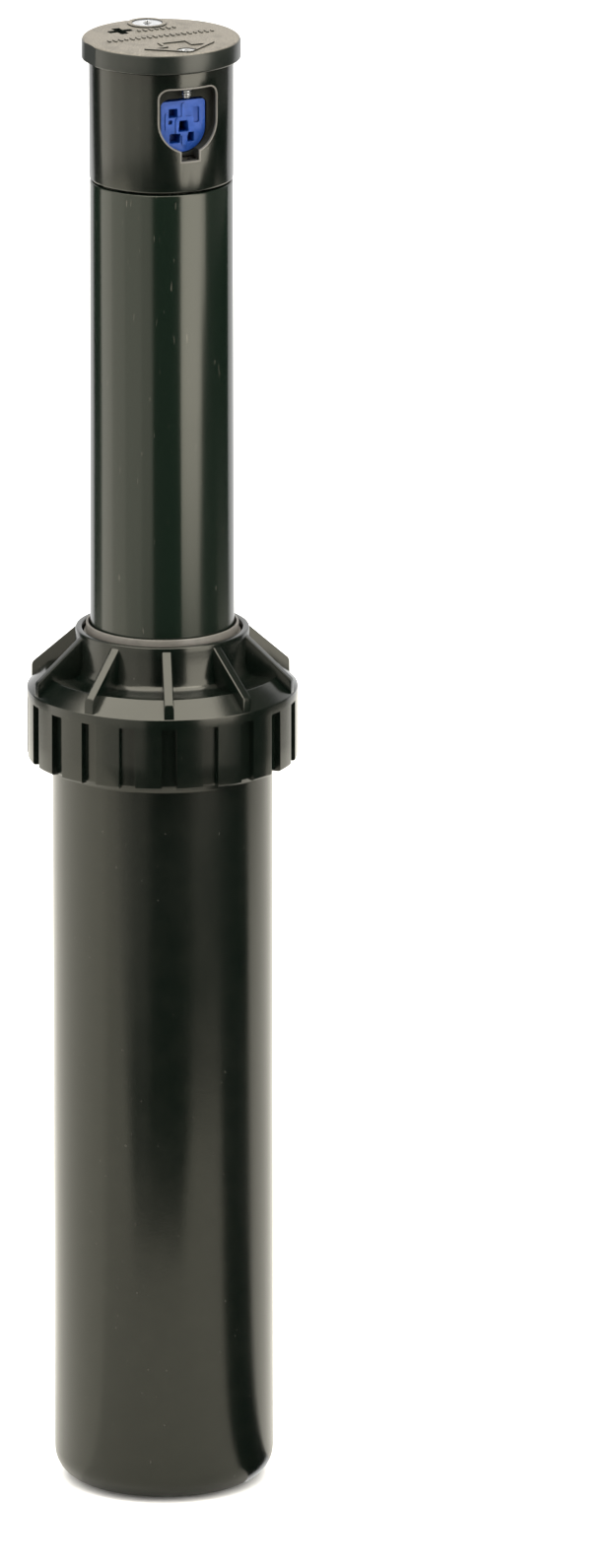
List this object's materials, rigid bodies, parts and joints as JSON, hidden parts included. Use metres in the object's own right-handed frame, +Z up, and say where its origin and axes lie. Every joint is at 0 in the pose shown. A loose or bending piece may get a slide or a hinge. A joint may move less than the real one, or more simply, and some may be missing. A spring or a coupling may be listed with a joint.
{
  "type": "pop-up sprinkler",
  "caption": "Gear-driven pop-up sprinkler: cylindrical case with ribbed screw cap, sliding riser, turning nozzle turret and female threaded inlet below.",
  "frame": {"origin": "centre of the case's bottom face, on the riser axis", "axes": "+Z up along the riser axis; the nozzle faces -Y"},
  "size_m": [0.0564, 0.0564, 0.3112],
  "materials": {
    "case_plastic": "satin moulded black plastic",
    "riser_plastic": "smooth glossy black plastic",
    "cover_rubber": "granular grey-black rubber",
    "seal_rubber": "soft grey elastomer",
    "nozzle_blue": "blue moulded plastic",
    "stainless": "stainless steel",
    "gear_white": "natural acetal",
    "inner_grey": "grey moulded plastic",
    "screen_black": "black screen plastic"
  },
  "bodies": {
    "case": {"body_case": "case_plastic", "body_cap": "case_plastic", "cap_gasket": "seal_rubber", "wiper_seal": "seal_rubber", "spring_seat": "inner_grey", "retract_spring": "stainless"},
    "guide": {"ratchet_ring": "inner_grey"},
    "riser": {"riser_tube": "riser_plastic", "filter_screen": "screen_black", "stator": "inner_grey", "bypass_spring": "stainless", "gearbox_case": "inner_grey", "gear_axle": "stainless", "gearbox_plate": "inner_grey", "gearbox_cover": "inner_grey", "toggle_spring": "stainless", "stem_bearing": "inner_grey"},
    "bypass": {"bypass_valve": "gear_white"},
    "rotor": {"turbine": "gear_white", "turbine_shaft": "stainless", "drive_pinion": "gear_white"},
    "gear_1": {"reduction_gear_1": "gear_white"},
    "gear_2": {"reduction_gear_2": "gear_white"},
    "gear_3": {"reduction_gear_3": "gear_white"},
    "gear_4": {"reduction_gear_4": "gear_white"},
    "gear_5": {"reduction_gear_5": "gear_white"},
    "yoke": {"reverser_yoke": "gear_white"},
    "idler_a": {"idler_forward": "gear_white"},
    "idler_b": {"idler_reverse": "gear_white"},
    "idler_c": {"idler_outer": "gear_white"},
    "trip": {"trip_lever": "gear_white"},
    "turret": {"drive_stem": "gear_white", "thrust_washer": "stainless", "stem_seal": "seal_rubber", "turret_housing": "case_plastic", "top_cover": "cover_rubber", "nozzle": "nozzle_blue"},
    "screw": {"radius_screw": "stainless"},
    "adjuster": {"arc_adjuster": "gear_white"},
    "arc": {"arc_ring": "gear_white"}
  },
  "joints": [
    {"name": "riser_popup", "type": "slide", "parent": "case", "child": "guide", "axis": [0, 0, 1], "range_m": [-0.1205, 0], "deforming": ["retract_spring"]},
    {"name": "riser_ratchet", "type": "hinge", "parent": "guide", "child": "riser", "pos_m": [0, 0, 0.145], "axis": [0, 0, 1], "range_deg": [-180, 180]},
    {"name": "bypass_lift", "type": "slide", "parent": "riser", "child": "bypass", "axis": [0, 0, 1], "range_m": [0, 0.0009], "deforming": ["bypass_spring"]},
    {"name": "turbine_spin", "type": "hinge", "parent": "riser", "child": "rotor", "pos_m": [0, 0, 0.19], "axis": [0, 0, 1], "continuous": true},
    {"name": "gear_1_spin", "type": "hinge", "parent": "riser", "child": "gear_1", "pos_m": [0.00576, 0, 0.2006], "axis": [0, 0, 1], "continuous": true},
    {"name": "gear_2_spin", "type": "hinge", "parent": "riser", "child": "gear_2", "pos_m": [0, 0, 0.2048], "axis": [0, 0, 1], "continuous": true},
    {"name": "gear_3_spin", "type": "hinge", "parent": "riser", "child": "gear_3", "pos_m": [0.00576, 0, 0.209], "axis": [0, 0, 1], "continuous": true},
    {"name": "gear_4_spin", "type": "hinge", "parent": "riser", "child": "gear_4", "pos_m": [0, 0, 0.2132], "axis": [0, 0, 1], "continuous": true},
    {"name": "gear_5_spin", "type": "hinge", "parent": "riser", "child": "gear_5", "pos_m": [0.00576, 0, 0.2174], "axis": [0, 0, 1], "continuous": true},
    {"name": "trip_turn", "type": "hinge", "parent": "riser", "child": "trip", "pos_m": [-0.0123, 0, 0.25], "axis": [0, 0, 1], "range_deg": [-9, 14]},
    {"name": "yoke_swing", "type": "hinge", "parent": "riser", "child": "yoke", "pos_m": [0.00576, 0, 0.2228], "axis": [0, 0, 1], "range_deg": [-4.5, 3]},
    {"name": "idler_a_spin", "type": "hinge", "parent": "yoke", "child": "idler_a", "pos_m": [0.00589, 0.0036, 0.2245], "axis": [0, 0, 1], "continuous": true},
    {"name": "idler_b_spin", "type": "hinge", "parent": "yoke", "child": "idler_b", "pos_m": [0.00593, -0.00287, 0.2245], "axis": [0, 0, 1], "continuous": true},
    {"name": "idler_c_spin", "type": "hinge", "parent": "yoke", "child": "idler_c", "pos_m": [0.00378, -0.00577, 0.2245], "axis": [0, 0, 1], "continuous": true},
    {"name": "turret_rotation", "type": "hinge", "parent": "riser", "child": "turret", "pos_m": [0, 0, 0.28], "axis": [0, 0, 1], "range_deg": [-180, 180]},
    {"name": "radius_screw_travel", "type": "slide", "parent": "turret", "child": "screw", "axis": [0, 0, 1], "range_m": [-0.0035, 0.0006]},
    {"name": "arc_adjust_turn", "type": "hinge", "parent": "turret", "child": "adjuster", "pos_m": [-0.00576, 0.00788, 0.29], "axis": [0, 0, 1], "continuous": true},
    {"name": "arc_ring_turn", "type": "hinge", "parent": "turret", "child": "arc", "pos_m": [0, 0, 0.2844], "axis": [0, 0, 1], "continuous": true}
  ],
  "couplings": [
    {"joint": "gear_1_spin", "follows": "turbine_spin", "ratio": -0.33333},
    {"joint": "gear_2_spin", "follows": "turbine_spin", "ratio": 0.11111},
    {"joint": "gear_3_spin", "follows": "turbine_spin", "ratio": -0.037037},
    {"joint": "gear_4_spin", "follows": "turbine_spin", "ratio": 0.012346},
    {"joint": "gear_5_spin", "follows": "turbine_spin", "ratio": -0.0041152},
    {"joint": "idler_a_spin", "follows": "turbine_spin", "ratio": 0.0027435},
    {"joint": "idler_b_spin", "follows": "turbine_spin", "ratio": 0.0041152},
    {"joint": "idler_c_spin", "follows": "turbine_spin", "ratio": -0.0027435},
    {"joint": "yoke_swing", "follows": "trip_turn", "ratio": -0.303},
    {"joint": "arc_ring_turn", "follows": "arc_adjust_turn", "ratio": -0.25}
  ]
}
